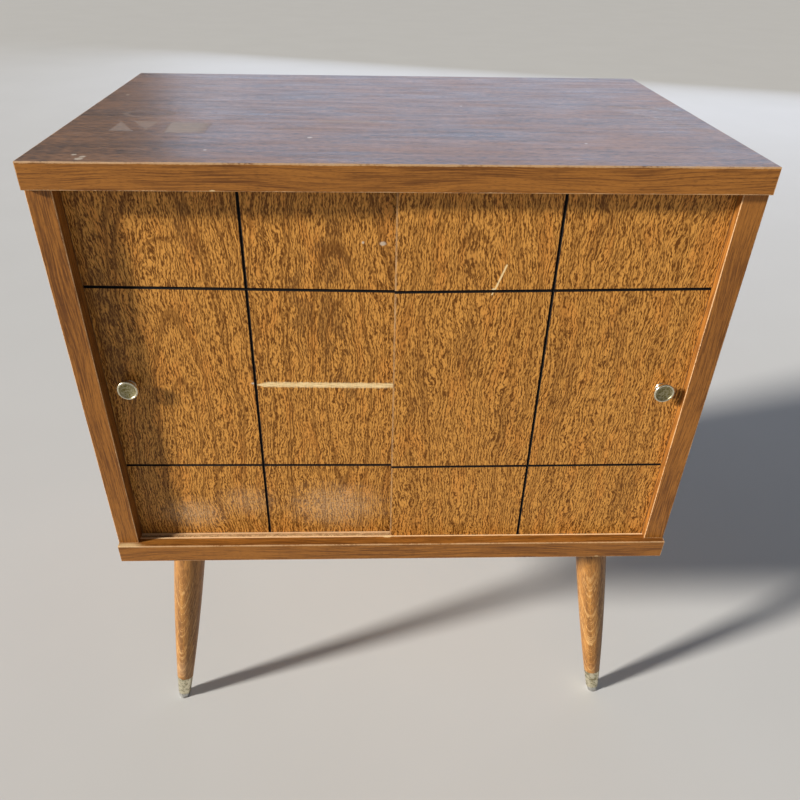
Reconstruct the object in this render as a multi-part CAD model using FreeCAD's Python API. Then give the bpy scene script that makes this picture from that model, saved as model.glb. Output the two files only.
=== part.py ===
import FreeCAD, Part
import math
import os

os.makedirs("parts", exist_ok=True)

# Low media cabinet on four splayed tapered legs: a particle-board case faced with woodgrain laminate,
# closed by two grooved hardboard doors that slide past each other.
# Millimetres. The origin is on the floor under the middle of the case. +Z is up, the doors face -Y.

Vector = FreeCAD.Vector

# ---- Case -------------------------------------------------------------------------------------------
case_width = 560.0
case_depth = 372.0
interior_height = 354.8
slab_board = 19.8
side_board = 19.0
divider_board = 16.0
laminate = 0.8
side_setback = 5.5
divider_setback = 30.0

# ---- Back -------------------------------------------------------------------------------------------
back_thickness = 3.2
back_recess = 0.8
back_overlap = 8.0
back_clearance = 0.2
nail_shank_radius = 0.7
nail_head_radius = 2.0
nail_head_thickness = 0.6
nail_length = 14.0
nails_per_edge = 4

# ---- Door tracks and doors --------------------------------------------------------------------------
front_lip = 13.0
groove_width = 4.4
groove_divider = 2.2
lower_groove_depth = 3.4
upper_groove_depth = 10.0
door_thickness = 3.2
door_width = 264.0
door_end_gap = 0.5
door_in_lower_groove = 3.0
door_in_upper_groove = 6.8
score_width = 2.4
score_depth = 1.2
upright_score_lean = 0.35
level_scores = ((0.25, 0.35), (0.75, 0.8))
level_score_error = 1.1

# ---- Knobs ------------------------------------------------------------------------------------------
knob_inset = 21.0
knob_rim_radius = 9.2
knob_lip_width = 1.9
knob_projection = 10.6
knob_dish_depth = 1.6
knob_foot_radius = 5.6
knob_foot_height = 0.9
knob_waist_radius = 4.7
knob_neck_radius = 6.4
knob_screw_radius = 2.0
knob_screw_hole_play = 0.1
knob_screw_reach = 6.0
knob_screw_head_radius = 4.2
knob_screw_head_thickness = 1.5

# ---- Dowels -----------------------------------------------------------------------------------------
side_dowel_radius = 4.0
side_dowel_in_slab = 12.0
side_dowel_in_board = 18.0
divider_dowel_radius = 3.0
divider_dowel_in_slab = 10.0
divider_dowel_in_board = 16.0
side_dowel_places = (-130.0, 0.0, 130.0)
divider_dowel_places = (-100.0, 20.0, 140.0)

# ---- Legs -------------------------------------------------------------------------------------------
leg_rise = 242.0
leg_inset_x = 61.0
leg_inset_y = 50.0
leg_splay = 35.0
leg_top_radius = 17.0
leg_middle_radius = 14.5
leg_foot_radius = 9.3
leg_rim_rounding = 1.0
ferrule_length = 27.0
ferrule_tip_radius = 7.2
ferrule_wall = 0.6
ferrule_end_wall = 1.0
glide_height = 6.0
glide_radius = 6.3
glide_nail_radius = 1.2
glide_nail_length = 14.0
glide_nail_point = 2.0

# ---- Leg plates -------------------------------------------------------------------------------------
plate_size = 72.0
plate_thickness = 2.5
plate_corner_radius = 8.0
plate_boss_radius = 21.0
plate_boss_drop = 16.0
plate_screw_offset = 28.0
plate_screw_radius = 2.0
plate_screw_depth = 13.0
plate_screw_head_radius = 4.0
plate_screw_head_thickness = 2.4
plate_screw_head_rounding = 1.0
hanger_bolt_radius = 4.0
hanger_bolt_above_plate = 9.0
hanger_bolt_in_leg = 34.0
hanger_bolt_point_length = 6.0
hanger_bolt_point_radius = 1.0
bolt_end_chamfer = 0.6

# ---- Fits -------------------------------------------------------------------------------------------
glue_gap = 0.05
edge_easing = 0.3
bore_spare = 1.0
overrun = 1.0
tolerance = 0.01

# ---- Places worked out from the above ---------------------------------------------------------------
slab = slab_board + laminate
side = side_board + laminate
half_width = case_width / 2
half_inside = half_width - side
front = -case_depth / 2
back = case_depth / 2
slab_underside = leg_rise
floor_top = leg_rise + slab
ceiling = floor_top + interior_height
top_face = ceiling + slab
rebate_depth = back_thickness + back_recess
back_face = back - back_recess
front_groove = front + front_lip
rear_groove = front_groove + groove_width + groove_divider
groove_play = (groove_width - door_thickness) / 2
door_bottom = floor_top - door_in_lower_groove
door_top = ceiling + door_in_upper_groove
door_height = door_top - door_bottom
knob_height = (floor_top + ceiling) / 2
leg_length = math.sqrt(leg_rise ** 2 + 2 * leg_splay ** 2)
ferrule_start = leg_length - glide_height - ferrule_length
ferrule_end = leg_length - glide_height


def box(x0, x1, y0, y1, z0, z1):
    """A block between two opposite corners."""
    return Part.makeBox(x1 - x0, y1 - y0, z1 - z0, Vector(x0, y0, z0))


def rod(start, direction, radius, length):
    """A round rod that starts at a point and runs along a direction."""
    return Part.makeCylinder(radius, length, start, direction)


def turned(edges):
    """A solid turned about the Z axis from the edges of its half section in the XZ plane."""
    face = Part.Face(Part.Wire(edges))
    return face.revolve(Vector(0, 0, 0), Vector(0, 0, 1), 360)


def line(start, end):
    """A straight edge of a half section, between two (radius, height) points."""
    return Part.LineSegment(Vector(start[0], 0, start[1]), Vector(end[0], 0, end[1])).toShape()


def arc(start, middle, end):
    """A round edge of a half section, through three (radius, height) points."""
    points = [Vector(radius, 0, height) for radius, height in (start, middle, end)]
    return Part.Arc(*points).toShape()


def outline(points):
    """Straight edges that join (radius, height) points in turn."""
    return [line(start, end) for start, end in zip(points, points[1:])]


def drilled(shape, cutters):
    """The shape with every cutter taken out of it."""
    return shape.cut(Part.makeCompound(cutters))


def ease(shape, chooses):
    """Rub down the sharp edges that a test picks out."""
    edges = [edge for edge in shape.Edges if chooses(edge)]
    return shape.makeChamfer(edge_easing, edges)


def at_front(edge):
    """True for an edge that lies along X in the front plane of the slabs."""
    bounds = edge.BoundBox
    return bounds.YMax < front + tolerance and bounds.XLength > laminate


def save(name, *solids):
    """Write one sub-part: a single solid, or a group of separate identical ones."""
    shape = solids[0] if len(solids) == 1 else Part.makeCompound(list(solids))
    shape.exportStep("parts/" + name + ".step")
    print(name, len(shape.Solids), round(shape.Volume / 1000, 3), "cm3", shape.isValid())


# ---- Fasteners that pass through several sub-parts --------------------------------------------------
def dowel_pegs(x, places, radius, in_slab, in_board):
    """Dowels that join one upright board to both slabs."""
    length = in_slab + in_board
    pegs = []
    for y in places:
        pegs.append(rod(Vector(x, y, floor_top - in_slab), Vector(0, 0, 1), radius, length))
        pegs.append(rod(Vector(x, y, ceiling - in_board), Vector(0, 0, 1), radius, length))
    return pegs


def side_dowels(growth):
    """The dowels of both side panels, grown by the glue gap when they cut their own holes."""
    x = half_inside + side_board / 2
    radius = side_dowel_radius + growth
    sizes = (side_dowel_in_slab + growth, side_dowel_in_board + growth)
    left = dowel_pegs(-x, side_dowel_places, radius, *sizes)
    return left + dowel_pegs(x, side_dowel_places, radius, *sizes)


def divider_dowels(growth):
    """The dowels of the middle divider."""
    radius = divider_dowel_radius + growth
    sizes = (divider_dowel_in_slab + growth, divider_dowel_in_board + growth)
    return dowel_pegs(0, divider_dowel_places, radius, *sizes)


def nail_places():
    """Nails evenly spaced round the edge of the back: as many along each upright as along each slab."""
    reach_x = half_inside + back_overlap / 2
    low = floor_top - back_overlap / 2
    high = ceiling + back_overlap / 2
    places = []
    for step in range(nails_per_edge):
        share = (step + 0.5) / nails_per_edge
        z = floor_top + interior_height * share
        x = half_inside * (2 * share - 1)
        places += [(-reach_x, z), (reach_x, z), (x, low), (x, high)]
    return places


def back_nails(growth):
    """Round-headed nails driven from behind through the back and into the rebates."""
    nails = []
    for x, z in nail_places():
        place = Vector(x, back_face, z)
        shank = rod(place, Vector(0, -1, 0), nail_shank_radius + growth, nail_length + growth)
        head = rod(place, Vector(0, 1, 0), nail_head_radius, nail_head_thickness)
        nails.append(shank if growth else shank.fuse(head).removeSplitter())
    return nails


# ---- Legs: each one is made upright with its axis along Z, then tilted into place -------------------
legs = {"front_left": (-1, -1), "front_right": (1, -1), "rear_left": (-1, 1), "rear_right": (1, 1)}


def leg_top(side_x, side_y):
    """Where a leg's axis meets the underside of the case."""
    return Vector(side_x * (half_width - leg_inset_x), side_y * (back - leg_inset_y), slab_underside)


def tilt(shape, side_x, side_y):
    """Turn a shape made along +Z so that it runs down a leg's splayed axis from the underside."""
    direction = Vector(side_x * leg_splay, side_y * leg_splay, -leg_rise)
    turn = FreeCAD.Rotation(Vector(0, 0, 1), direction)
    placement = FreeCAD.Placement(leg_top(side_x, side_y), turn)
    return shape.transformed(placement.toMatrix(), copy=True)


def turned_leg():
    """The wooden leg: a barrel-shaped taper that steps down to fit inside its ferrule."""
    middle = (plate_boss_drop + ferrule_start) / 2
    inside_top = leg_foot_radius - ferrule_wall - glue_gap
    inside_tip = ferrule_tip_radius - ferrule_wall - glue_gap
    wood_end = ferrule_end - ferrule_end_wall - 2 * glue_gap
    rim = (leg_top_radius, plate_boss_drop + leg_rim_rounding)
    shoulder = (leg_foot_radius, ferrule_start)
    edges = outline([(0, plate_boss_drop), (leg_top_radius - leg_rim_rounding, plate_boss_drop), rim])
    edges.append(arc(rim, (leg_middle_radius, middle), shoulder))
    edges += outline([shoulder, (inside_top, ferrule_start), (inside_tip, wood_end), (0, wood_end)])
    edges.append(line((0, wood_end), (0, plate_boss_drop)))
    bolt_bore = rod(Vector(0, 0, plate_boss_drop), Vector(0, 0, 1), hanger_bolt_radius + glue_gap,
                    hanger_bolt_in_leg + bore_spare)
    nail_bore = rod(Vector(0, 0, wood_end), Vector(0, 0, -1), glide_nail_radius + glue_gap,
                    glide_nail_length + bore_spare)
    return drilled(turned(edges), [bolt_bore, nail_bore])


def ferrule():
    """The thin metal cup over the tip of a leg, with an eased bottom edge and a hole for the glide's nail."""
    rim_height = ferrule_start + 2 * glue_gap
    outer_rim = leg_foot_radius + glue_gap
    inner_rim = outer_rim - ferrule_wall
    hole = glide_nail_radius + glue_gap
    inside_end = ferrule_end - ferrule_end_wall
    points = [(inner_rim, rim_height), (outer_rim, rim_height),
              (ferrule_tip_radius, ferrule_end - ferrule_wall),
              (ferrule_tip_radius - ferrule_wall, ferrule_end), (hole, ferrule_end), (hole, inside_end),
              (ferrule_tip_radius - ferrule_wall, inside_end), (inner_rim, rim_height)]
    return turned(outline(points))


def glide():
    """The foot pad with its nail, later trimmed level with the floor."""
    tip = ferrule_end - glide_nail_length
    pad_end = leg_length + glide_radius
    points = [(0, tip), (glide_nail_radius, tip + glide_nail_point), (glide_nail_radius, ferrule_end),
              (glide_radius, ferrule_end), (glide_radius, pad_end), (0, pad_end), (0, tip)]
    return turned(outline(points))


def hanger_bolt():
    """Half bolt, half wood screw: it holds the leg against the inclined face of its plate."""
    top = plate_boss_drop - plate_thickness - hanger_bolt_above_plate
    tip = plate_boss_drop + hanger_bolt_in_leg
    points = [(0, top), (hanger_bolt_radius - bolt_end_chamfer, top),
              (hanger_bolt_radius, top + bolt_end_chamfer),
              (hanger_bolt_radius, tip - hanger_bolt_point_length), (hanger_bolt_point_radius, tip),
              (0, tip), (0, top)]
    return turned(outline(points))


def plate_screw_places(side_x, side_y):
    """The four corner holes of a leg plate."""
    centre = leg_top(side_x, side_y)
    offsets = (-plate_screw_offset, plate_screw_offset)
    return [centre + Vector(dx, dy, 0) for dx in offsets for dy in offsets]


def plate_screws(side_x, side_y, growth):
    """Pan-headed wood screws driven upwards through a plate into the bottom slab."""
    screws = []
    for place in plate_screw_places(side_x, side_y):
        below = place - Vector(0, 0, plate_thickness)
        length = plate_thickness + plate_screw_depth + growth
        shank = rod(below, Vector(0, 0, 1), plate_screw_radius + growth, length)
        head = rod(below, Vector(0, 0, -1), plate_screw_head_radius, plate_screw_head_thickness)
        if not growth:
            low_rim = [edge for edge in head.Edges
                       if edge.BoundBox.ZMax < below.z - plate_screw_head_rounding]
            head = head.makeFillet(plate_screw_head_rounding, low_rim)
            shank = shank.fuse(head).removeSplitter()
        screws.append(shank)
    return screws


def leg_plate(side_x, side_y):
    """A pressed steel plate: a flat square flange with a hollow boss whose face is square to the leg."""
    centre = leg_top(side_x, side_y)
    reach = plate_size / 2
    flange = box(centre.x - reach, centre.x + reach, centre.y - reach, centre.y + reach,
                 slab_underside - plate_thickness, slab_underside)
    corners = [edge for edge in flange.Edges if edge.BoundBox.ZLength > plate_thickness / 2]
    flange = flange.makeFillet(plate_corner_radius, corners)
    start = Vector(0, 0, -plate_boss_drop)
    up = Vector(0, 0, 1)
    boss = rod(start, up, plate_boss_radius, 2 * plate_boss_drop)
    hollow = rod(start, up, plate_boss_radius - plate_thickness, 2 * plate_boss_drop - plate_thickness)
    bolt_hole = rod(start, up, hanger_bolt_radius + glue_gap, 2 * plate_boss_drop + overrun)
    above = box(centre.x - plate_size, centre.x + plate_size, centre.y - plate_size, centre.y + plate_size,
                slab_underside, slab_underside + plate_size)
    body = flange.fuse(tilt(boss, side_x, side_y).cut(above))
    cutters = [tilt(hollow, side_x, side_y), tilt(bolt_hole, side_x, side_y)]
    cutters += plate_screws(side_x, side_y, glue_gap)
    return drilled(body, cutters).removeSplitter()


# ---- Case -------------------------------------------------------------------------------------------
def track_cutters(z0, z1):
    """The two parallel door grooves, between the side panels."""
    cutters = []
    for groove in (front_groove, rear_groove):
        cutters.append(box(-half_inside, half_inside, groove, groove + groove_width, z0, z1))
    return cutters


def rebate_cutter(z0, z1):
    """The step along the back of a panel that the back sits in."""
    reach = half_inside + back_overlap
    return box(-reach, reach, back - rebate_depth, back + overrun, z0, z1)


def slab_core(z0, cutters):
    """The particle board of a slab, inside its edge strips."""
    core = box(-half_width + laminate, half_width - laminate, front + laminate, back, z0, z0 + slab_board)
    return drilled(core, cutters)


def slab_edgings(prefix, z0):
    """The laminate strips round a slab: one across the front, one along each end."""
    z1 = z0 + slab_board
    strip = box(-half_width, half_width, front, front + laminate, z0, z1)
    low_edge = [edge for edge in strip.Edges if at_front(edge) and edge.BoundBox.ZMax < z0 + tolerance]
    save(prefix + "_front_edging", strip.makeChamfer(edge_easing, low_edge))
    left = box(-half_width, -half_width + laminate, front + laminate, back, z0, z1)
    right = box(half_width - laminate, half_width, front + laminate, back, z0, z1)
    save(prefix + "_end_edgings", left, right)


all_dowels = side_dowels(glue_gap) + divider_dowels(glue_gap)
all_nails = back_nails(glue_gap)

top_cutters = track_cutters(ceiling - overrun, ceiling + upper_groove_depth)
top_cutters += [rebate_cutter(ceiling - overrun, ceiling + back_overlap)] + all_dowels + all_nails
save("top_panel", slab_core(ceiling, top_cutters))
top_sheet = box(-half_width, half_width, front, back, ceiling + slab_board, top_face)
save("top_surface_laminate", ease(top_sheet, lambda edge: edge.BoundBox.ZMin > top_face - tolerance))
slab_edgings("top", ceiling)

all_plate_screws = []
for corner in legs.values():
    all_plate_screws += plate_screws(*corner, glue_gap)
floor_tracks = track_cutters(floor_top - lower_groove_depth, floor_top + overrun)
floor_rebate = rebate_cutter(floor_top - back_overlap, floor_top + overrun)
bottom_cutters = floor_tracks + [floor_rebate] + all_dowels + all_nails + all_plate_screws
save("bottom_panel", slab_core(slab_underside, bottom_cutters))
floor_sheet = box(-half_width, half_width, front, back, slab_underside + slab_board, floor_top)
floor_sheet = ease(floor_sheet, lambda edge: edge.BoundBox.ZMin > floor_top - tolerance and at_front(edge))
save("floor_surface_laminate", drilled(floor_sheet, floor_tracks + [floor_rebate] + all_dowels))
slab_edgings("bottom", slab_underside)


def side_panel(sign):
    """An upright particle-board side, rebated for the back."""
    inner = sign * half_inside
    outer = sign * (half_width - laminate)
    panel = box(min(inner, outer), max(inner, outer), front + side_setback + laminate, back,
                floor_top, ceiling)
    return drilled(panel, [rebate_cutter(floor_top - overrun, ceiling + overrun)] + all_dowels + all_nails)


def side_skin(sign):
    """The laminate on the outside of a side."""
    inner = sign * (half_width - laminate)
    outer = sign * half_width
    return box(min(inner, outer), max(inner, outer), front + side_setback + laminate, back,
               floor_top, ceiling)


def side_edging(sign):
    """The laminate strip on the front edge of a side."""
    inner = sign * half_inside
    outer = sign * half_width
    face_y = front + side_setback
    strip = box(min(inner, outer), max(inner, outer), face_y, face_y + laminate, floor_top, ceiling)
    return ease(strip, lambda edge: (edge.BoundBox.YMax < face_y + tolerance
                                     and edge.BoundBox.ZLength > laminate))


for sign, hand in ((-1, "left"), (1, "right")):
    save(hand + "_side_panel", side_panel(sign))
    save(hand + "_side_laminate", side_skin(sign))
    save(hand + "_side_front_edging", side_edging(sign))

divider_front = front + divider_setback
divider = box(-divider_board / 2, divider_board / 2, divider_front + laminate, back - rebate_depth,
              floor_top, ceiling)
save("middle_divider", drilled(divider, all_dowels))
save("divider_front_edging", box(-divider_board / 2, divider_board / 2, divider_front,
                                 divider_front + laminate, floor_top, ceiling))

back_reach = half_inside + back_overlap - back_clearance
back_sheet = box(-back_reach, back_reach, back_face - back_thickness, back_face,
                 floor_top - back_overlap + back_clearance, ceiling + back_overlap - back_clearance)
save("back_panel", drilled(back_sheet, all_nails))
save("back_nails", *back_nails(0))
save("side_dowels", *side_dowels(0))
save("divider_dowels", *divider_dowels(0))


# ---- Sliding doors ----------------------------------------------------------------------------------
def score(centre, length, lean):
    """A V-shaped score line cut into a door's face: an upright one, turned clockwise by some degrees."""
    half = score_width / 2
    corners = [Vector(-half, -tolerance, 0), Vector(half, -tolerance, 0), Vector(0, score_depth, 0)]
    face = Part.Face(Part.makePolygon(corners + corners[:1]))
    prism = face.extrude(Vector(0, 0, length))
    prism.translate(Vector(0, 0, -length / 2))
    prism.rotate(Vector(0, 0, 0), Vector(0, 1, 0), lean)
    prism.translate(centre)
    return prism


def door_panel(left_x, face_y, knob_x):
    """A hardboard door with one upright score down its middle and two nearly level ones.

    They were cut by hand. The level ones rise a little outwards, and the upright one's top leans inwards.
    On the left door the level ones are a little too low, and on the right door a little too high.
    """
    panel = box(left_x, left_x + door_width, face_y, face_y + door_thickness, door_bottom, door_top)
    middle_x = left_x + door_width / 2
    side = 1 if middle_x < 0 else -1
    middle = Vector(middle_x, face_y, (door_bottom + door_top) / 2)
    cutters = [score(middle, door_height + 2 * overrun, side * upright_score_lean)]
    for share, rise in level_scores:
        level = door_bottom + share * door_height - side * level_score_error
        place = Vector(middle_x, face_y, level)
        cutters.append(score(place, door_width + 2 * overrun, 90 + side * rise))
    cutters.append(rod(Vector(knob_x, face_y - overrun, knob_height), Vector(0, 1, 0),
                       knob_screw_radius + knob_screw_hole_play, door_thickness + 2 * overrun))
    return drilled(panel, cutters)


def face_outwards(shape, x, face_y):
    """Stand a shape made along +Z out from a door's face."""
    turn = FreeCAD.Rotation(Vector(0, 0, 1), Vector(0, -1, 0))
    placement = FreeCAD.Placement(Vector(x, face_y, knob_height), turn)
    return shape.transformed(placement.toMatrix(), copy=True)


def knob():
    """A turned metal knob: a small foot, a waist and a flared head whose rounded lip rings a shallow dish."""
    lip_side = (knob_rim_radius, knob_projection - knob_lip_width / 2)
    lip_top = (knob_rim_radius - knob_lip_width / 2, knob_projection)
    head_base = knob_projection - 1.5 * knob_lip_width
    neck = (knob_neck_radius, head_base - knob_lip_width / 2)
    flare = ((knob_neck_radius + knob_rim_radius) / 2, head_base)
    dish_radius = knob_rim_radius - knob_lip_width
    dish_edge = (dish_radius, knob_projection - knob_lip_width / 4)
    sphere_radius = (dish_radius ** 2 + knob_dish_depth ** 2) / (2 * knob_dish_depth)
    sphere_height = dish_edge[1] - knob_dish_depth + sphere_radius
    half_angle = math.asin(dish_radius / sphere_radius) / 2
    dish_middle = (sphere_radius * math.sin(half_angle), sphere_height - sphere_radius * math.cos(half_angle))
    dish_bottom = (0, dish_edge[1] - knob_dish_depth)
    bore = knob_screw_radius + glue_gap
    bore_end = knob_screw_reach + bore_spare / 2
    foot = (knob_foot_radius, knob_foot_height)
    waist = (knob_waist_radius, (knob_foot_height + neck[1]) / 2)
    edges = outline([(bore, 0), (knob_foot_radius, 0), foot])
    edges += [arc(foot, waist, neck), arc(neck, flare, lip_side), arc(lip_side, lip_top, dish_edge)]
    edges.append(arc(dish_edge, dish_middle, dish_bottom))
    edges += outline([dish_bottom, (0, bore_end), (bore, bore_end), (bore, 0)])
    return turned(edges)


def knob_screw():
    """A low-headed machine screw that enters the knob from behind the door."""
    head_base = -door_thickness
    head_back = head_base - knob_screw_head_thickness
    slope_end = head_base - knob_screw_head_thickness / 4
    points = [(0, head_back), (knob_screw_head_radius - knob_screw_head_thickness, head_back),
              (knob_screw_head_radius, slope_end), (knob_screw_head_radius, head_base),
              (knob_screw_radius, head_base), (knob_screw_radius, knob_screw_reach - bolt_end_chamfer),
              (knob_screw_radius - bolt_end_chamfer, knob_screw_reach), (0, knob_screw_reach), (0, head_back)]
    return turned(outline(points))


doors = {
    "left": (-half_inside + door_end_gap, rear_groove + groove_play, -half_inside + knob_inset),
    "right": (half_inside - door_end_gap - door_width, front_groove + groove_play, half_inside - knob_inset),
}
for hand, (left_x, face_y, knob_x) in doors.items():
    save(hand + "_door_panel", door_panel(left_x, face_y, knob_x))
    save(hand + "_door_knob", face_outwards(knob(), knob_x, face_y))
    save(hand + "_knob_screw", face_outwards(knob_screw(), knob_x, face_y))


# ---- Legs, plates and feet --------------------------------------------------------------------------
below_floor = box(-half_width, half_width, front, back, -glide_height - glide_radius, 0.0)
bolts = []
screws = []
for name, corner in legs.items():
    save(name + "_leg", tilt(turned_leg(), *corner))
    save(name + "_leg_plate", leg_plate(*corner))
    save(name + "_ferrule", tilt(ferrule(), *corner))
    save(name + "_glide", tilt(glide(), *corner).cut(below_floor))
    bolts.append(tilt(hanger_bolt(), *corner))
    screws += plate_screws(*corner, 0)
save("leg_hanger_bolts", *bolts)
save("leg_plate_screws", *screws)
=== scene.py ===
import math

import bpy
from mathutils import Matrix, Vector


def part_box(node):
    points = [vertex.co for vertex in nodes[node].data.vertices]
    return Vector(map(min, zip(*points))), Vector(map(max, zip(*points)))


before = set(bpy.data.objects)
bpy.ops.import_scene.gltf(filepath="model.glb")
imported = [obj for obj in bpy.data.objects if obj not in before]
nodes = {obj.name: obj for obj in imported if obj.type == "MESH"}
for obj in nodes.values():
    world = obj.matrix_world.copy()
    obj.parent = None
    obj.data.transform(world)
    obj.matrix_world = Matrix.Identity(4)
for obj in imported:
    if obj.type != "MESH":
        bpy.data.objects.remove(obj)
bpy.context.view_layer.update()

MILLIMETRES = 1000.0
TRACK_PLAY = 0.6  # the gap on each side of a door in its track
SCORE_LEAN = 0.35  # how far a door's upright score leans, in degrees
LEVEL_SCORES = ((0.25, 0.35), (0.75, 0.80))  # the share of the height, and the rise in degrees, of each
LEVEL_SCORE_ERROR = 1.1  # how far a level score is from its share of the height
SCORE_HALF_WIDTH = 1.2
SCORE_DEPTH = 1.2
PRINTED_LINE_PITCH = 3.2  # between the darker lines of the doors' print
RING_FACING = Vector((-0.35, -1.0, 0.0))  # the side of a leg where its growth rings show as arches
SCREEN_PITCH = 1.6  # between the dents that the press screen left in the back

# Colours, as linear red, green and blue.
DOOR_LIGHT = (0.670, 0.310, 0.064)
DOOR_DARK = (0.135, 0.044, 0.003)
DOOR_GREY = (0.160, 0.070, 0.018)
DOOR_ORANGE = (0.660, 0.240, 0.040)
SCORE_BLACK = (0.004, 0.003, 0.003)
HARDBOARD = (0.150, 0.080, 0.040)
HARDBOARD_DARK = (0.085, 0.042, 0.021)
TORN_PRINT = (0.950, 0.720, 0.380)
SCUFF = (0.620, 0.540, 0.440)
HAZE = (0.680, 0.480, 0.290)

EDGING_LIGHT = (0.360, 0.140, 0.024)
EDGING_DARK = (0.140, 0.048, 0.009)
TOP_LIGHT = (0.290, 0.130, 0.052)
TOP_DARK = (0.030, 0.011, 0.006)
# Pale colour of worn edges; along the right door's left edge it also serves as a painted highlight.
WEAR_AND_EDGE_HIGHLIGHT = (0.620, 0.380, 0.190)
RESIDUE = (0.420, 0.370, 0.340)
# Worn rim colour, brightened further as a painted highlight.
RIM_WEAR_AND_HIGHLIGHT = (1.000, 0.680, 0.380)

CHIP_COLOURS = ((0.520, 0.320, 0.150), (0.700, 0.480, 0.250), (0.300, 0.160, 0.075))
LEG_LIGHT = (0.420, 0.190, 0.042)
LEG_DARK = (0.190, 0.076, 0.016)
LEG_ARCH = (0.600, 0.350, 0.130)
BEECH_LIGHT = (0.700, 0.520, 0.320)
BEECH_DARK = (0.480, 0.310, 0.170)
BRASS_BRIGHT = (0.800, 0.740, 0.560)
BRASS_AGED = (0.170, 0.138, 0.036)
ZINC_LIGHT = (0.600, 0.600, 0.580)
ZINC_DARK = (0.330, 0.320, 0.300)
RUST = (0.200, 0.080, 0.030)


# ---- Node arithmetic --------------------------------------------------------------------------------
class Value:
    """A number that nodes work out at each point of a surface."""

    def __init__(self, graph, socket):
        self.graph = graph
        self.socket = socket

    def __add__(self, other):
        return self.graph.math("ADD", self, other)

    def __radd__(self, other):
        return self.graph.math("ADD", other, self)

    def __sub__(self, other):
        return self.graph.math("SUBTRACT", self, other)

    def __rsub__(self, other):
        return self.graph.math("SUBTRACT", other, self)

    def __mul__(self, other):
        return self.graph.math("MULTIPLY", self, other)

    def __rmul__(self, other):
        return self.graph.math("MULTIPLY", other, self)

    def __truediv__(self, other):
        return self.graph.math("DIVIDE", self, other)

    def __abs__(self):
        return self.graph.math("ABSOLUTE", self)


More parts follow.
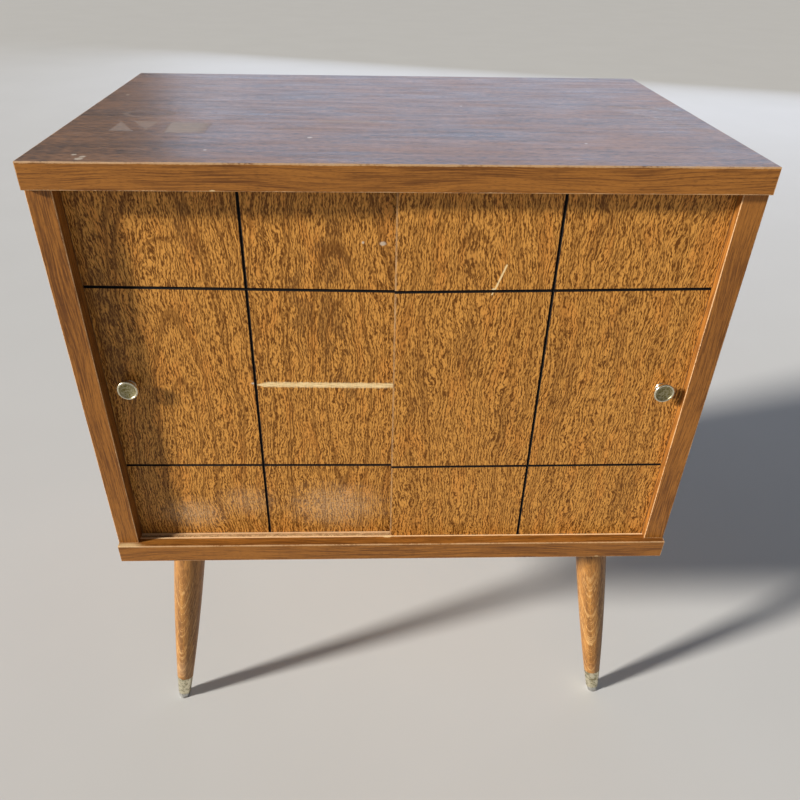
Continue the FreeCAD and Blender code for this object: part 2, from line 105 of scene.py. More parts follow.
class Graph:
    """One material, with the position and normal of its surface in millimetres in the object's frame."""

    def __init__(self, name):
        self.material = bpy.data.materials.new(name)
        self.material.use_nodes = True
        self.tree = self.material.node_tree
        self.tree.nodes.clear()
        coordinates = self.tree.nodes.new("ShaderNodeTexCoord")
        self.normal_x, self.normal_y, self.normal_z = self.split(coordinates.outputs["Normal"])
        x, y, z = self.split(coordinates.outputs["Object"])
        self.x = x * MILLIMETRES
        self.y = y * MILLIMETRES
        self.z = z * MILLIMETRES

    def feed(self, socket, value):
        """Link a value to a socket, or set it there if it is a plain number or colour."""
        if isinstance(value, Value):
            self.tree.links.new(value.socket, socket)
        elif isinstance(value, bpy.types.NodeSocket):
            self.tree.links.new(value, socket)
        elif isinstance(value, tuple) and len(value) == 3 and len(socket.default_value) == 4:
            socket.default_value = value + (1.0,)
        else:
            socket.default_value = value

    def split(self, vector):
        """The three parts of a vector."""
        node = self.tree.nodes.new("ShaderNodeSeparateXYZ")
        self.tree.links.new(vector, node.inputs[0])
        return [Value(self, output) for output in node.outputs]

    def join(self, parts):
        """A vector made of three values."""
        node = self.tree.nodes.new("ShaderNodeCombineXYZ")
        for socket, part in zip(node.inputs, parts):
            self.feed(socket, part)
        return node.outputs[0]

    def math(self, operation, *values):
        node = self.tree.nodes.new("ShaderNodeMath")
        node.operation = operation
        for socket, value in zip(node.inputs, values):
            self.feed(socket, value)
        return Value(self, node.outputs[0])

    def least(self, first, second):
        return self.math("MINIMUM", first, second)

    def most(self, first, second):
        return self.math("MAXIMUM", first, second)

    def length(self, first, second):
        """The length of the two together, as the sides of a right angle."""
        return self.math("SQRT", first * first + second * second)

    def step(self, value, low, high):
        """0 below low, 1 above high and a smooth slope between, or the other way if high is less than low."""
        node = self.tree.nodes.new("ShaderNodeMapRange")
        node.interpolation_type = "SMOOTHSTEP"
        rising = high > low
        settings = (value, min(low, high), max(low, high), 0.0 if rising else 1.0, 1.0 if rising else 0.0)
        for socket, setting in zip(node.inputs, settings):
            self.feed(socket, setting)
        return Value(self, node.outputs[0])

    def noise(self, parts, detail=2.0, roughness=0.5):
        """Noise from 0 to 1 whose features are about one unit of the given coordinates."""
        node = self.tree.nodes.new("ShaderNodeTexNoise")
        self.feed(node.inputs["Vector"], self.join(parts))
        node.inputs["Scale"].default_value = 1.0
        node.inputs["Detail"].default_value = detail
        node.inputs["Roughness"].default_value = roughness
        return Value(self, node.outputs["Fac"])

    def stripes(self, position, detail=2.0, roughness=0.5):
        """Uneven stripes along one coordinate, about one unit wide, from 0 to 1."""
        node = self.tree.nodes.new("ShaderNodeTexNoise")
        node.noise_dimensions = "1D"
        self.feed(node.inputs["W"], position)
        node.inputs["Scale"].default_value = 1.0
        node.inputs["Detail"].default_value = detail
        node.inputs["Roughness"].default_value = roughness
        return Value(self, node.outputs["Fac"])

    def flakes(self, parts):
        """A random number for each cell of a packing of irregular cells about one unit wide."""
        node = self.tree.nodes.new("ShaderNodeTexVoronoi")
        self.feed(node.inputs["Vector"], self.join(parts))
        node.inputs["Scale"].default_value = 1.0
        return self.split(node.outputs["Color"])[0]

    def mix(self, share, first, second):
        """The first colour where share is 0 and the second where it is 1."""
        node = self.tree.nodes.new("ShaderNodeMix")
        node.data_type = "RGBA"
        self.feed(node.inputs[0], share)
        self.feed(node.inputs[6], first)
        self.feed(node.inputs[7], second)
        return node.outputs[2]

    def surface(self, colour, roughness, height, metallic=0.0, specular=0.5, coat=0.0, coat_roughness=0.2):
        """Close the material. Height is the relief in millimetres."""
        bump = self.tree.nodes.new("ShaderNodeBump")
        bump.inputs["Strength"].default_value = 1.0
        bump.inputs["Distance"].default_value = 1.0 / MILLIMETRES
        self.feed(bump.inputs["Height"], height)
        shader = self.tree.nodes.new("ShaderNodeBsdfPrincipled")
        self.feed(shader.inputs["Base Color"], colour)
        self.feed(shader.inputs["Roughness"], roughness)
        self.feed(shader.inputs["Metallic"], metallic)
        shader.inputs["Specular IOR Level"].default_value = specular
        shader.inputs["Coat Weight"].default_value = coat
        shader.inputs["Coat Roughness"].default_value = coat_roughness
        self.tree.links.new(bump.outputs[0], shader.inputs["Normal"])
        output = self.tree.nodes.new("ShaderNodeOutputMaterial")
        self.tree.links.new(shader.outputs[0], output.inputs["Surface"])
        return self.material


def corners(node):
    """The lowest and highest corner of a node, in millimetres."""
    low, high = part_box(node)
    return low * MILLIMETRES, high * MILLIMETRES


def edge_distance(g, node):
    """How far a point on a board's surface is from the nearest edge of the board, in millimetres."""
    low, high = corners(node)
    near = []
    for value, start, end in zip((g.x, g.y, g.z), low, high):
        near.append(g.least(value - start, end - value))
    smaller = g.least(near[0], near[1])
    larger = g.most(near[0], near[1])
    return g.most(smaller, g.least(larger, near[2]))


def streak(g, across, along, start, end, half_width):
    """1 along a straight mark from start to end with slightly ragged sides, and 0 away from it."""
    direction = Vector(end) - Vector(start)
    reach = direction.length
    direction.normalize()
    from_start_across = across - start[0]
    from_start_along = along - start[1]
    forward = from_start_across * direction[0] + from_start_along * direction[1]
    beyond = g.most(g.most(forward * -1.0, forward - reach), 0.0)
    sideways = from_start_across * direction[1] - from_start_along * direction[0]
    ragged = g.noise((across * 0.35, along * 0.35, 5.0)) * half_width
    return g.step(g.length(beyond, sideways) + ragged, half_width * 1.9, half_width * 1.1)


def spot(g, across, along, centre, radius_across, radius_along, softness):
    """1 inside an uneven oval and 0 outside it."""
    apart = g.length((across - centre[0]) / radius_across, (along - centre[1]) / radius_along)
    uneven = g.noise((across * 2.4 / radius_across, along * 2.4 / radius_along, 9.0)) - 0.5
    return g.step(apart + uneven * 0.9, 1.0 + softness, 1.0 - softness)


def patch(g, across, along, outline, ragged):
    """1 inside a convex outline, given counter-clockwise, and 0 outside it. Its sides are a little ragged."""
    inside = None
    for start, end in zip(outline, outline[1:] + outline[:1]):
        direction = (Vector(end) - Vector(start)).normalized()
        distance = (along - start[1]) * direction[0] - (across - start[0]) * direction[1]
        inside = distance if inside is None else g.least(inside, distance)
    uneven = (g.noise((across * 0.3, along * 0.3, 6.0), detail=3.0) - 0.5) * ragged * 4.0
    return g.step(inside + uneven, -ragged, ragged)


# ---- Woodgrain laminate of the case -----------------------------------------------------------------
def laminate(node, along, across, light, dark, roughness, gloss, marks=None, seed=0.0, run=1.0):
    """Printed woodgrain laminate with its grain along one axis, and pale worn edges.

    Run says how long its figure is, compared with the sides'.
    """
    g = Graph("laminate_" + node)
    axes = {"x": g.x, "y": g.y, "z": g.z}
    length = axes[along]
    width = axes[across]
    depth = axes[({"x", "y", "z"} - {along, across}).pop()]
    bend = (g.noise((width / 60.0, length / 260.0, depth / 60.0 + seed)) - 0.5) * 26.0
    width = width + bend
    bands = g.noise((width / 6.0, length / (300.0 * run), depth / 6.0 + seed), detail=3.0)
    lines = g.noise((width / 1.1, length / (32.0 * run), depth / 1.1 + seed), detail=3.0, roughness=0.65)
    pores = g.noise((width / 0.5, length / 5.5, depth / 0.5 + seed), detail=1.0)
    patches = g.noise((width / 40.0, length / 110.0, seed + 3.0))
    tone = g.step(bands * 0.28 + lines * 0.72 + (patches - 0.5) * 0.25, 0.36, 0.62)
    colour = g.mix(tone, dark, light)
    pore_mask = g.step(pores, 0.46, 0.36)
    colour = g.mix(pore_mask * 0.3, colour, tuple(0.45 * part for part in dark))
    chips = g.noise((g.x / 3.0, g.y / 3.0, g.z / 3.0), detail=4.0, roughness=0.7)
    stretches = g.noise((g.x / 28.0, g.y / 28.0, g.z / 28.0), detail=2.0)
    worn = g.step(edge_distance(g, node) + (chips - 0.5) * 1.6 + (0.5 - stretches) * 1.2, 0.75, 0.25)
    colour = g.mix(worn * 0.8, colour, WEAR_AND_EDGE_HIGHLIGHT)
    rough = roughness + (patches - 0.5) * 0.16 + worn * 0.25
    height = (lines - 0.5) * 0.03 - pore_mask * 0.02 - worn * 0.05
    if marks:
        colour, rough, height = marks(g, colour, rough, height)
    return g.surface(colour, rough, height, specular=gloss, coat=gloss * 0.25, coat_roughness=0.3)


def top_marks(g, colour, rough, height):
    """Dried residue, pale spots, rubbed patches, hairline scratches and a paler left end on the top."""
    residue = patch(g, g.x, g.y, [(-238.0, -55.0), (-239.0, -91.0), (-218.0, -92.0)], 1.4)
    residue = g.most(residue, patch(g, g.x, g.y, [(-228.0, -54.0), (-209.0, -88.0), (-205.0, -54.0)], 1.4))
    fade = g.step(g.x, -150.0, -170.0) * 1.5
    block = [(-195.0, -57.0), (-193.0, -95.0), (-160.0, -95.0), (-160.0, -60.0)]
    residue = g.most(residue, patch(g, g.x, g.y, block, 1.6) * fade)
    loops = g.step(abs(g.length((g.x + 222.0) / 20.0, (g.y + 24.0) / 14.0) - 1.0), 0.25, 0.08)
    residue = g.most(residue, loops * 0.7)
    residue = g.most(residue, streak(g, g.x, g.y, (-105.0, -81.0), (-46.0, -78.5), 2.2) * 0.45)
    residue = g.most(residue, streak(g, g.x, g.y, (-67.0, -50.5), (-17.0, -49.0), 2.0) * 1.4)
    scratches = (((190.0, 34.0), (268.0, 14.0)), ((211.0, 26.0), (275.0, 6.0)),
                 ((205.0, 4.0), (245.0, -30.0)), ((246.0, -38.0), (271.0, -67.0)),
                 ((250.0, -52.0), (270.0, -78.0)))
    for start, end in scratches:
        residue = g.most(residue, streak(g, g.x, g.y, start, end, 1.3) * 0.8)
    pale = None
    for centre_x, centre_y, radius in ((-73.0, -108.0, 2.0), (-243.0, -166.5, 2.0), (-236.0, -178.0, 3.0),
                                       (-235.0, -172.0, 2.2), (-150.0, -150.0, 1.3), (64.0, 22.0, 1.2),
                                       (150.0, -120.0, 1.2), (-262.0, 60.0, 1.6)):
        mark = spot(g, g.x, g.y, (centre_x, centre_y), radius, radius, 0.3)
        pale = mark if pale is None else g.most(pale, mark)
    film = g.noise((g.x / 60.0, g.y / 9.0, 2.0), detail=4.0, roughness=0.6)
    hairs = g.noise((g.x / 16.0, g.y / 0.9, 4.0), detail=2.0, roughness=0.6)
    hair_mask = g.step(hairs, 0.56, 0.68) * g.step(film + g.step(g.x, 20.0, 240.0) * 0.16, 0.44, 0.60)
    brushed = g.step(g.noise((g.x / 9.0, g.y / 2.2, 8.0), detail=3.0, roughness=0.65), 0.52, 0.66)
    rubbed = g.step(g.length((g.x - 246.0) / 30.0, (g.y + 6.0) / 46.0) + (film - 0.5) * 1.2, 1.1, 0.5)
    dull = g.most(g.most(residue * 0.42, hair_mask * 0.45), rubbed * brushed * 0.5)
    # The left end is mixed a little toward the pale residue colour.
    dull = g.most(dull, g.step(g.x, -100.0, -200.0) * 0.12)
    colour = g.mix(dull, colour, RESIDUE)
    colour = g.mix(pale * 0.8, colour, SCUFF)
    rough = rough + residue * 0.2 + (film - 0.5) * 0.3 + hair_mask * 0.15
    return colour, rough, height - hair_mask * 0.01 + (film - 0.5) * 0.05


def chipped(x, z):
    """Marks for a front edging with one small pale chip."""
    def marks(g, colour, rough, height):
        chip = spot(g, g.x, g.z, (x, z), 2.0, 0.9, 0.25)
        return g.mix(chip * 0.6, colour, TORN_PRINT), rough + chip * 0.2, height - chip * 0.1
    return marks


def track_marks(g, colour, rough, height):
    """A rubbed rim behind the front lip and a pale strip between the tracks, worn and brightened further as a
    painted highlight; a chip in the rim, a bare end.
    """
    front_rim = corners("right_door_panel")[0].y - TRACK_PLAY
    strip_front = corners("right_door_panel")[1].y + TRACK_PLAY
    ragged = g.noise((g.x / 12.0, g.y / 0.8, 4.0), detail=3.0) - 0.5
    rim = g.step(abs(g.y - front_rim) + ragged * 0.8, 2.1, 1.3)
    rim = g.most(rim, g.step(g.y + ragged * 0.8, strip_front - 0.4, strip_front + 0.2) * 0.75)
    low = corners("floor_surface_laminate")[0]
    bare = spot(g, g.x, g.y, (-7.5, front_rim - 0.8), 4.5, 2.2, 0.2)
    bare = g.most(bare, spot(g, g.x, g.y, (low.x + 9.0, low.y + 2.0), 12.0, 3.0, 0.6) * 0.7)
    # Painted highlight: the rim and the strip between the tracks are brightened to a near-white orange,
    # partly wear and partly the light on them.
    colour = g.mix(rim * 0.9, colour, RIM_WEAR_AND_HIGHLIGHT)
    colour = g.mix(bare * 0.8, colour, TORN_PRINT)
    return colour, rough + g.most(rim, bare) * 0.2, height - bare * 0.05


# ---- Printed hardboard doors ------------------------------------------------------------------------
def hardboard_colour(g, position):
    """Brown pressed fibre."""
    mottle = g.noise([part / 9.0 for part in position], detail=4.0, roughness=0.6)
    fibre = g.noise([part / 0.8 for part in position], detail=3.0, roughness=0.7)
    return g.mix(g.step(mottle * 0.5 + fibre * 0.5, 0.35, 0.65), HARDBOARD_DARK, HARDBOARD), fibre


def scores_of(node):
    """The three score lines of a door: a point in the middle of each and its unit direction, in XZ."""
    low, high = corners(node)
    middle_x = (low.x + high.x) / 2
    side = 1.0 if middle_x < 0.0 else -1.0
    lean = math.radians(side * SCORE_LEAN)
    lines = [((middle_x, (low.z + high.z) / 2), (math.sin(lean), math.cos(lean)))]
    for share, rise in LEVEL_SCORES:
        rise = math.radians(side * rise)
        level = low.z + share * (high.z - low.z) - side * LEVEL_SCORE_ERROR
        lines.append(((middle_x, level), (math.cos(rise), -math.sin(rise))))
    return lines


def score_height(node, index, x):
    """How high a door's level score is at a place across it: 1 is the lower one and 2 the upper one."""
    (middle_x, middle_z), (across, up) = scores_of(node)[index]
    return middle_z + (x - middle_x) * up / across


def door(node, flames, tongues, smoky, marks, seed):
    """Hardboard with a printed face, raw behind and black in its score lines.

    Flames are arches of the grain, each a place and a slant. Tongues are its grey-brown patches, each a
    place and a half size. Smoky says how strong they are.
    """
    g = Graph("printed_" + node)
    face = corners(node)[0].y

    slow = g.noise((g.x / 70.0, g.z / 190.0, seed)) - 0.5
    quick = g.noise((g.x / 16.0, g.z / 34.0, seed + 4.0)) - 0.5
    width = g.x + slow * 34.0 + quick * 8.0
    ring = None
    for centre_x, centre_z, slant in flames:
        arch = g.length(width - centre_x, g.most(g.z - centre_z, (g.z - centre_z) * -0.35) * slant)
        ring = arch if ring is None else g.least(ring, arch)

    shiver = (g.noise((g.x / 2.2, g.z / 2.6, seed + 2.0)) - 0.5) * 1.9
    waver = (g.noise((g.x / 5.0, g.z / 12.0, seed + 3.0)) - 0.5) * 9.0
    lines = g.math("SINE", (width + waver + shiver) * (2 * math.pi / PRINTED_LINE_PITCH))
    ticks = g.noise(((width + shiver) / 0.75, g.z / 10.0, seed), detail=1.0)
    grains = g.noise(((width + shiver) / 0.70, g.z / 2.8, seed + 7.0), detail=0.0)
    wisps = g.noise(((width + shiver) / 1.1, g.z / 30.0, seed + 9.0), detail=1.0)
    fine = g.stripes(ring / 2.1 + seed, detail=1.0)
    blotch = g.noise((width / 15.0, g.z / 60.0, seed + 8.0), detail=3.0, roughness=0.6)
    grain = ticks * 0.54 + grains * 0.28 + wisps * 0.06 + fine * 0.12 + lines * 0.06
    feather = (g.noise((width / 2.6, g.z / 14.0, seed + 20.0), detail=3.0) - 0.5) * 1.1
    swirl_x = (g.noise((g.x / 17.0, g.z / 26.0, seed + 31.0), detail=1.0) - 0.5) * 44.0
    swirl_z = (g.noise((g.x / 17.0, g.z / 26.0, seed + 37.0), detail=1.0) - 0.5) * 70.0
    smoke = g.stripes(ring / 9.0 + seed + 5.0) * 0.6 + blotch * 0.4 + feather * 0.05
    smoke = g.step(smoke, 0.50, 0.62) * 0.25
    for centre_x, centre_z, half_width, half_height in tongues:
        apart = g.length((g.x + swirl_x - centre_x) / half_width, (g.z + swirl_z - centre_z) / half_height)
        smoke = g.most(smoke, g.step(apart + feather * 1.1, 1.05, 0.70))
    smoke = smoke * smoky
    tone = g.step(grain + (blotch - 0.5) * 0.02 - smoke * 0.04, 0.385, 0.595)
    colour = g.mix(tone, DOOR_DARK, DOOR_LIGHT)
    warm = g.step(g.noise((width / 14.0, g.z / 60.0, seed + 12.0)), 0.50, 0.66)
    colour = g.mix(warm * tone * 0.4, colour, DOOR_ORANGE)
    colour = g.mix(smoke * 0.30, colour, DOOR_GREY)
    contour = g.stripes((ring + shiver * 0.6) / 13.0 + seed, detail=0.0)
    contour = g.step(abs(contour - 0.5), 0.036, 0.010)
    colour = g.mix(contour * (0.55 * smoky), colour, DOOR_DARK)
    rough = 0.46 + (blotch - 0.5) * 0.15
    height = (ticks - 0.5) * 0.03

    for mask, mark_colour, strength in marks(g):
        colour = g.mix(mask * strength, colour, mark_colour)
        rough = rough + mask * 0.25

    raw, fibre = hardboard_colour(g, (g.x, g.y, g.z))
    uneven = g.noise((g.x / 5.0, g.y, g.z / 5.0), detail=3.0)
    edge = g.step(edge_distance(g, node) + uneven * 0.9, 0.9, 0.4)
    colour = g.mix(edge * 0.6, colour, WEAR_AND_EDGE_HIGHLIGHT)
    behind = g.step(g.y, face + 0.05, face + 0.15)
    score = None
    for middle, direction in scores_of(node):
        away = abs((g.x - middle[0]) * direction[1] - (g.z - middle[1]) * direction[0])
        score = away if score is None else g.least(score, away)
    in_score = g.step(score, SCORE_HALF_WIDTH + 0.1, SCORE_HALF_WIDTH)
    in_score = in_score * g.step(g.y, face + SCORE_DEPTH + 0.2, face + SCORE_DEPTH + 0.1)
    colour = g.mix(behind, colour, raw)
    overrun = g.step(score + (fibre - 0.5) * 0.5, SCORE_HALF_WIDTH + 0.25, SCORE_HALF_WIDTH - 0.05)
    painted = g.most(behind * in_score, overrun)
    colour = g.mix(painted, colour, SCORE_BLACK)
    rough = rough + behind * 0.3
    height = height + behind * (fibre - 0.5) * 0.12
    return g.surface(colour, rough, height, specular=0.2, coat=0.02, coat_roughness=0.3)


def left_door_marks(g):
    """A long rubbed strip beside the middle score, haze at the bottom and small chips."""
    middle_x = scores_of("left_door_panel")[0][0][0]
    knob_z = sum(corner.z for corner in corners("left_door_knob")) / 2
    overlap_x = corners("right_door_panel")[0].x
    strip = streak(g, g.x, g.z, (middle_x - 1.0, knob_z + 0.6), (overlap_x + 3.0, knob_z - 1.2), 2.5)
    strip = strip * g.step(g.x - abs(g.z - knob_z) * 3.5, middle_x - 3.0, middle_x + 3.0)
    fibres = g.step(g.noise((g.x / 11.0, g.z / 0.55, 1.0), detail=3.0, roughness=0.6), 0.34, 0.60)
    haze = g.most(spot(g, g.x, g.z, (-60.0, 298.0), 34.0, 20.0, 0.9),
                  spot(g, g.x, g.z, (-203.0, 289.0), 24.0, 14.0, 0.9))
    haze = g.most(haze, spot(g, g.x, g.z, (-149.0, 304.0), 22.0, 14.0, 0.9) * 0.6)
    dust = g.step(g.noise((g.x / 1.6, g.z / 1.8, 6.0), detail=3.0, roughness=0.6), 0.40, 0.66)
    haze = haze * (0.25 + dust * 0.75)
    chips = g.most(spot(g, g.x, g.z, (-14.3, 571.2), 2.4, 1.6, 0.35),
                   spot(g, g.x, g.z, (-30.3, 572.0), 1.0, 1.0, 0.35))
    chips = g.most(chips, spot(g, g.x, g.z, (middle_x - 1.5, knob_z + 1.6), 2.4, 1.0, 0.3))
    return [(strip * (0.45 + fibres * 0.55), TORN_PRINT, 1.0), (haze, HAZE, 0.55), (chips, SCUFF, 0.75)]


def right_door_marks(g):
    """A diagonal scratch that ends in a chip on the upper score, and a painted highlight along the left edge,
    where the board's edge catches the light.
    """
    node = "right_door_panel"
    edge_x = corners(node)[0].x
    chip_x = 77.9
    end = Vector((chip_x, score_height(node, 2, chip_x)))
    scratch = streak(g, g.x, g.z, (end.x + 8.3, end.y + 22.5), (end.x + 1.0, end.y + 2.5), 0.75)
    chip = g.most(spot(g, g.x, g.z, (end.x - 0.6, end.y + 0.6), 1.8, 2.0, 0.25),
                  streak(g, g.x, g.z, (end.x, end.y + 2.0), (end.x - 1.5, end.y - 3.0), 0.5))
    # Painted highlight: a pale, ragged line along the door's left edge stands in for the lit edge of the
    # board.
    rubbed = g.step(g.x, edge_x + 2.0, edge_x + 0.7)
    heavy = g.step(abs(g.z - 541.0), 52.0, 36.0)
    ragged = g.step(g.noise((g.x / 1.0, g.z / 7.0, 3.0), detail=3.0) + heavy * 0.10, 0.52, 0.68)
    rubbed = rubbed * (0.4 + ragged * 0.5)
    return [(scratch, TORN_PRINT, 0.85), (chip, TORN_PRINT, 0.95), (rubbed, WEAR_AND_EDGE_HIGHLIGHT, 0.9)]


# ---- Boards, back and legs --------------------------------------------------------------------------
def particle_board(node, finished=None):
    """Raw particle board. A finished side, given as a mask, has the brown printed paper of the inside."""
    g = Graph("particle_board_" + node)
    flake = g.flakes((g.x / 3.4, g.y / 2.6, g.z / 1.9))
    dust = g.flakes((g.x / 0.9, g.y / 0.9, g.z / 0.9))
    light, pale, dark = CHIP_COLOURS
    colour = g.mix(g.step(flake, 0.2, 0.9), light, pale)
    colour = g.mix(g.step(dust, 0.72, 0.95) * 0.8, colour, dark)
    grime = g.noise((g.x / 60.0, g.y / 60.0, g.z / 60.0), detail=4.0, roughness=0.6)
    colour = g.mix(g.step(grime, 0.45, 0.75) * 0.35, colour, dark)
    height = (flake - 0.5) * 0.10 + (dust - 0.5) * 0.08
    rough = 0.78 + (dust - 0.5) * 0.2
    if finished:
        mask = finished(g)
        bend = (g.noise((g.y / 60.0, g.z / 240.0, 7.0)) - 0.5) * 30.0
        grain = g.noise(((g.y + bend) / 1.4, g.z / 34.0, g.x / 1.4), detail=3.0, roughness=0.65)
        printed = g.mix(g.step(grain, 0.36, 0.62), EDGING_DARK, EDGING_LIGHT)
        colour = g.mix(mask, colour, printed)
        rough = rough - mask * 0.3
        height = height * (1.0 - mask) + mask * grain * 0.02
    return g.surface(colour, rough, height, specular=0.3)


def plain_hardboard(node):
    """The back: raw brown hardboard with a faint screen pattern, dusty along the bottom."""
    g = Graph("hardboard_" + node)
    colour, fibre = hardboard_colour(g, (g.x, g.y, g.z))
    stain = g.noise((g.x / 90.0, g.y / 90.0, g.z / 140.0), detail=5.0, roughness=0.6)
    colour = g.mix(g.step(stain, 0.5, 0.7) * 0.35, colour, HARDBOARD_DARK)
    low, high = corners(node)
    dust = g.step(g.z + stain * 120.0, low.z + 110.0, low.z + 40.0)
    colour = g.mix(dust * 0.3, colour, SCUFF)
    pitch = 2 * math.pi / SCREEN_PITCH
    screen = g.math("SINE", g.x * pitch) * g.math("SINE", g.z * pitch)
    return g.surface(colour, 0.72 + (fibre - 0.5) * 0.2, screen * 0.05 + fibre * 0.08)


def leg_wood(node, top, foot, facing):
    """Stained beech turned along a line from top to foot, with its growth rings cut into arches."""
    g = Graph("stained_" + node)
    down = (foot - top).normalized()
    front = (facing - down * facing.dot(down)).normalized()
    sideways = down.cross(front)

    def reach(direction):
        return ((g.x - top.x) * direction.x + (g.y - top.y) * direction.y
                + (g.z - top.z) * direction.z)

    length = reach(down)
    toward = reach(front)
    beside = reach(sideways)
    wander = (g.noise((beside / 9.0, length / 40.0, top.x / 50.0)) - 0.5) * 6.0
    off = beside + wander * 0.3
    drop = length + off * off * 0.28
    uneven = g.stripes((drop + wander * 1.4) / 11.0 + top.x * 0.37, detail=1.0)
    arches = g.step(abs(uneven - 0.5), 0.046, 0.008) * g.step(toward, 0.0, 6.0)
    broad = g.noise((beside / 5.0, toward / 5.0, length / 60.0), detail=2.0)
    pores = g.noise((beside / 0.55, toward / 0.55, length / 7.0), detail=2.0, roughness=0.6)
    tone = g.step(broad * 0.5 + pores * 0.5, 0.36, 0.64)
    colour = g.mix(tone, LEG_DARK, LEG_LIGHT)
    figured = g.step(length, 25.0, 90.0)
    broken = g.step(pores * 0.5 + g.noise((g.x / 3.0, g.y / 3.0, g.z / 5.0)) * 0.5, 0.38, 0.56)
    colour = g.mix(arches * figured * broken * 0.75, colour, LEG_ARCH)
    grime = g.noise((g.x / 20.0, g.y / 20.0, g.z / 30.0), detail=4.0, roughness=0.65)
    scuffed = g.step(length + grime * 60.0, 205.0, 235.0) * g.step(grime, 0.4, 0.6)
    colour = g.mix(g.step(grime, 0.5, 0.75) * 0.3, colour, tuple(0.5 * part for part in LEG_DARK))
    colour = g.mix(scuffed * 0.3, colour, WEAR_AND_EDGE_HIGHLIGHT)
    pore_mask = g.step(pores, 0.42, 0.32)
    colour = g.mix(pore_mask * 0.4, colour, tuple(0.4 * part for part in LEG_DARK))
    return g.surface(colour, 0.40 + grime * 0.12, (pores - 0.5) * 0.05, specular=0.35, coat=0.12,
                     coat_roughness=0.25)


def dowel_beech(node):
    """Raw beech pegs with short flecks."""
    g = Graph("beech_" + node)
    fleck = g.noise((g.x / 0.6, g.y / 0.6, g.z / 4.0), detail=2.0)
    band = g.noise((g.x / 2.5, g.y / 2.5, g.z / 30.0), detail=2.0)
    colour = g.mix(g.step(fleck * 0.5 + band * 0.5, 0.35, 0.65), BEECH_DARK, BEECH_LIGHT)
    return g.surface(colour, 0.6 + (fleck - 0.5) * 0.2, (fleck - 0.5) * 0.05)


# ---- Metal ------------------------------------------------------------------------------------------
def knob_brass(node):
    """Bright rubbed rim round a tarnished dish."""
    g = Graph("brass_" + node)
    low, high = corners(node)
    centre = (low + high) / 2
    radius = (high.x - low.x) / 2
    out = g.length(g.x - centre.x, g.z - centre.z)
    dish = g.step(out, radius - 1.5, radius - 2.1) * g.step(g.y, low.y + 2.6, low.y + 2.2)
    mottle = g.noise((g.x / 1.6, g.y / 1.6, g.z / 1.6), detail=4.0, roughness=0.65)
    spots = g.noise((g.x / 0.7, g.y / 0.7, g.z / 0.7), detail=2.0)
    rings = g.stripes(out / 0.28)
    tarnish = g.step(mottle * 0.7 + spots * 0.3, 0.38, 0.62)
    aged = dish * (0.62 + tarnish * 0.38) + (1.0 - dish) * tarnish * 0.3
    colour = g.mix(aged, BRASS_BRIGHT, BRASS_AGED)
    rough = 0.24 + aged * 0.26 + (spots - 0.5) * 0.1
    height = (rings - 0.5) * 0.012 - tarnish * dish * 0.03
    return g.surface(colour, rough, height, metallic=1.0)


def ferrule_brass(node):
    """Thin brass, dull and scratched, with dirt toward the floor."""
    g = Graph("brass_" + node)
    mottle = g.noise((g.x / 5.0, g.y / 5.0, g.z / 5.0), detail=4.0, roughness=0.7)
    hairs = g.noise((g.x / 0.4, g.y / 0.4, g.z / 3.0), detail=1.0)
    low, high = corners(node)
    dirt = g.step(g.z + mottle * 16.0, low.z + 14.0, low.z + 3.0)
    colour = g.mix(g.step(mottle, 0.4, 0.65) * 0.75, BRASS_BRIGHT, BRASS_AGED)
    colour = g.mix(dirt * 0.6, colour, tuple(0.4 * part for part in BRASS_AGED))
    rough = 0.26 + mottle * 0.2 + dirt * 0.25
    return g.surface(colour, rough, (hairs - 0.5) * 0.02, metallic=1.0 - dirt * 0.4)


def zinc(node):
    """Dulled zinc plate with spangles, and a little rust."""
    g = Graph("zinc_" + node)
    spangle = g.flakes((g.x / 4.0, g.y / 4.0, g.z / 4.0))
    dull = g.noise((g.x / 12.0, g.y / 12.0, g.z / 12.0), detail=4.0, roughness=0.65)
    rust = g.step(g.noise((g.x / 4.0, g.y / 4.0, g.z / 4.0 + 20.0), detail=4.0, roughness=0.7), 0.58, 0.70)
    colour = g.mix(g.step(spangle * 0.4 + dull * 0.6, 0.3, 0.7), ZINC_DARK, ZINC_LIGHT)
    colour = g.mix(rust * 0.7, colour, RUST)
    rough = 0.34 + dull * 0.2 + rust * 0.3
    return g.surface(colour, rough, (dull - 0.5) * 0.03 + rust * 0.03, metallic=1.0 - rust * 0.8)


# ---- Which finish each node has ---------------------------------------------------------------------
def finish_node(node, material):
    """Give a node its material."""
    slots = nodes[node].data.materials
    slots.clear()
    slots.append(material)


def inner_side(sign):
    """A mask for the face of a side panel that looks into the case."""
    return lambda g: g.step(g.normal_x * -sign, 0.4, 0.6)


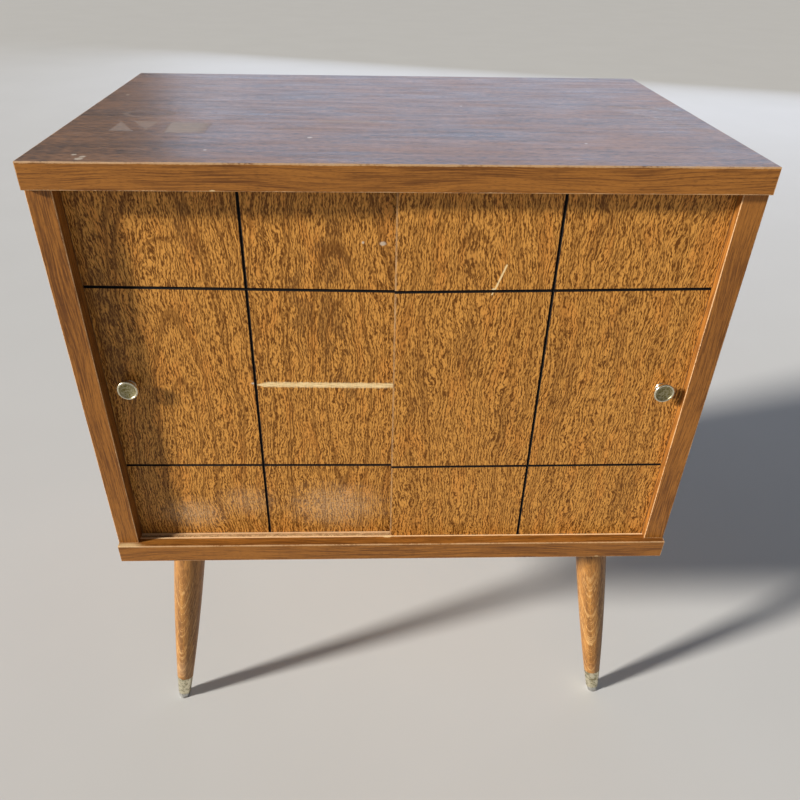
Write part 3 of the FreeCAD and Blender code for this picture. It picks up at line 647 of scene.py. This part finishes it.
edging = (EDGING_LIGHT, EDGING_DARK, 0.42, 0.25)
top_finish = (TOP_LIGHT, TOP_DARK, 0.34, 0.50)
finish_node("top_surface_laminate", laminate("top_surface_laminate", "x", "y", *top_finish,
                                             marks=top_marks, run=0.25))
for node, chip_x, seed in (("top_front_edging", -141.0, 0.0), ("bottom_front_edging", 212.0, 11.0)):
    chips = chipped(chip_x, corners(node)[0].z + 0.4)
    finish_node(node, laminate(node, "x", "z", *edging, marks=chips, seed=seed, run=1.6))
finish_node("floor_surface_laminate", laminate("floor_surface_laminate", "x", "y", *edging,
                                               marks=track_marks, seed=22.0))
for node in ("top_end_edgings", "bottom_end_edgings"):
    finish_node(node, laminate(node, "y", "z", *edging, seed=31.0))
for hand, sign in (("left", -1.0), ("right", 1.0)):
    name = hand + "_side_laminate"
    finish_node(name, laminate(name, "z", "y", *edging, seed=40.0 + sign))
    name = hand + "_side_front_edging"
    finish_node(name, laminate(name, "z", "x", *edging, seed=50.0 + sign))
    finish_node(hand + "_side_panel", particle_board(hand + "_side_panel", inner_side(sign)))
finish_node("divider_front_edging", laminate("divider_front_edging", "z", "x", *edging, seed=60.0))
for node in ("top_panel", "bottom_panel", "middle_divider"):
    finish_node(node, particle_board(node))
left_flames = [(-52.0, 470.0, 0.26), (-195.0, 380.0, 0.20)]
left_tongues = [(-56.0, 566.0, 13.0, 34.0), (-60.0, 494.0, 15.0, 34.0), (-48.0, 440.0, 9.0, 24.0),
                (-84.0, 520.0, 8.0, 40.0), (-167.0, 580.0, 7.0, 30.0), (-250.0, 500.0, 9.0, 70.0)]
right_flames = [(62.0, 500.0, 0.24), (190.0, 520.0, 0.20)]
right_tongues = [(55.0, 569.0, 10.0, 34.0), (158.0, 577.0, 12.0, 32.0), (62.0, 479.0, 11.0, 40.0),
                 (146.0, 448.0, 10.0, 44.0), (20.0, 438.0, 8.0, 46.0), (190.0, 498.0, 11.0, 40.0),
                 (97.0, 394.0, 10.0, 36.0), (228.0, 320.0, 10.0, 44.0)]
finish_node("left_door_panel", door("left_door_panel", left_flames, left_tongues, 1.0, left_door_marks, 3.0))
finish_node("right_door_panel",
            door("right_door_panel", right_flames, right_tongues, 0.5, right_door_marks, 17.0))
finish_node("back_panel", plain_hardboard("back_panel"))
for node in ("side_dowels", "divider_dowels"):
    finish_node(node, dowel_beech(node))
for hand in ("left", "right"):
    finish_node(hand + "_door_knob", knob_brass(hand + "_door_knob"))
for node in ("left_knob_screw", "right_knob_screw", "back_nails", "leg_hanger_bolts", "leg_plate_screws"):
    finish_node(node, zinc(node))
for corner in ("front_left", "front_right", "rear_left", "rear_right"):
    plate_low, plate_high = corners(corner + "_leg_plate")
    glide_low, glide_high = corners(corner + "_glide")
    top = (plate_low + plate_high) / 2
    top.z = plate_high.z
    foot = (glide_low + glide_high) / 2
    foot.z = 0.0
    finish_node(corner + "_leg", leg_wood(corner + "_leg", top, foot, RING_FACING))
    finish_node(corner + "_ferrule", ferrule_brass(corner + "_ferrule"))
    finish_node(corner + "_leg_plate", zinc(corner + "_leg_plate"))
    finish_node(corner + "_glide", zinc(corner + "_glide"))


# ---- Floor, lights and camera -----------------------------------------------------------------------
def pale_floor():
    """A wide pale floor with hardly any texture."""
    half = 15.0
    mesh = bpy.data.meshes.new("floor")
    mesh.from_pydata([(-half, -half, 0), (half, -half, 0), (half, half, 0), (-half, half, 0)], [],
                     [(0, 1, 2, 3)])
    floor = bpy.data.objects.new("floor", mesh)
    bpy.context.scene.collection.objects.link(floor)
    g = Graph("floor")
    cloud = g.noise((g.x / 300.0, g.y / 300.0, 0.0), detail=3.0)
    colour = g.mix(cloud, (0.56, 0.555, 0.54), (0.60, 0.595, 0.58))
    mesh.materials.append(g.surface(colour, 0.7, cloud * 0.1))


def add_light(name, kind, place, target, strength, colour):
    """A light that faces a target from a place."""
    light = bpy.data.lights.new(name, kind)
    light.energy = strength
    light.color = colour
    holder = bpy.data.objects.new(name, light)
    holder.location = place
    holder.rotation_euler = (Vector(target) - Vector(place)).to_track_quat("-Z", "Y").to_euler()
    holder.visible_camera = False
    bpy.context.scene.collection.objects.link(holder)
    return light


def soft_box(name, place, target, width, height, radiance, colour):
    """A rectangular light as bright as the given radiance."""
    light = add_light(name, "AREA", place, target, radiance * math.pi * width * height, colour)
    light.shape = "RECTANGLE"
    light.size = width
    light.size_y = height


def look_from(place, turn, tip, roll, lens, shift):
    """The camera: turned right of +Y, tipped down and rolled, by angles in degrees."""
    turn, tip, roll = (math.radians(angle) for angle in (turn, tip, roll))
    forward = Vector((math.sin(turn) * math.cos(tip), math.cos(turn) * math.cos(tip), -math.sin(tip)))
    right = Vector((math.cos(turn), -math.sin(turn), 0.0))
    up = right.cross(forward)
    rolled_right = math.cos(roll) * right + math.sin(roll) * up
    rolled_up = math.cos(roll) * up - math.sin(roll) * right
    camera = bpy.data.cameras.new("camera")
    camera.lens = lens
    camera.sensor_width = 36.0
    camera.shift_x, camera.shift_y = shift
    camera.clip_start = 0.05
    camera.clip_end = 100.0
    holder = bpy.data.objects.new("camera", camera)
    bpy.context.scene.collection.objects.link(holder)
    matrix = Matrix((rolled_right, rolled_up, -forward)).transposed().to_4x4()
    matrix.translation = Vector(place)
    holder.matrix_world = matrix
    bpy.context.scene.camera = holder


pale_floor()
middle = Vector((0.0, 0.0, 0.40))
key = add_light("key", "SUN", middle - Vector((3.05, 1.0, -1.35)), middle, 6.2, (1.0, 0.96, 0.90))
key.angle = math.radians(7.0)
soft_box("front_fill", (0.8, -3.2, 1.6), middle, 2.4, 1.6, 0.20, (1.0, 0.98, 0.96))
soft_box("back_sky", (1.4, 4.0, 1.5), (0.0, 0.0, 0.6), 6.0, 2.4, 1.25, (0.72, 0.82, 1.06))
world = bpy.data.worlds.new("studio")
world.use_nodes = True
world.node_tree.nodes["Background"].inputs["Color"].default_value = (0.92, 0.95, 1.0, 1.0)
world.node_tree.nodes["Background"].inputs["Strength"].default_value = 0.14
bpy.context.scene.world = world
bpy.context.scene.view_settings.view_transform = "Standard"
look_from((-0.02887, -0.73828, 0.78220), 2.355, 35.475, 1.0825, 33.065, (0.0120, 0.0551))
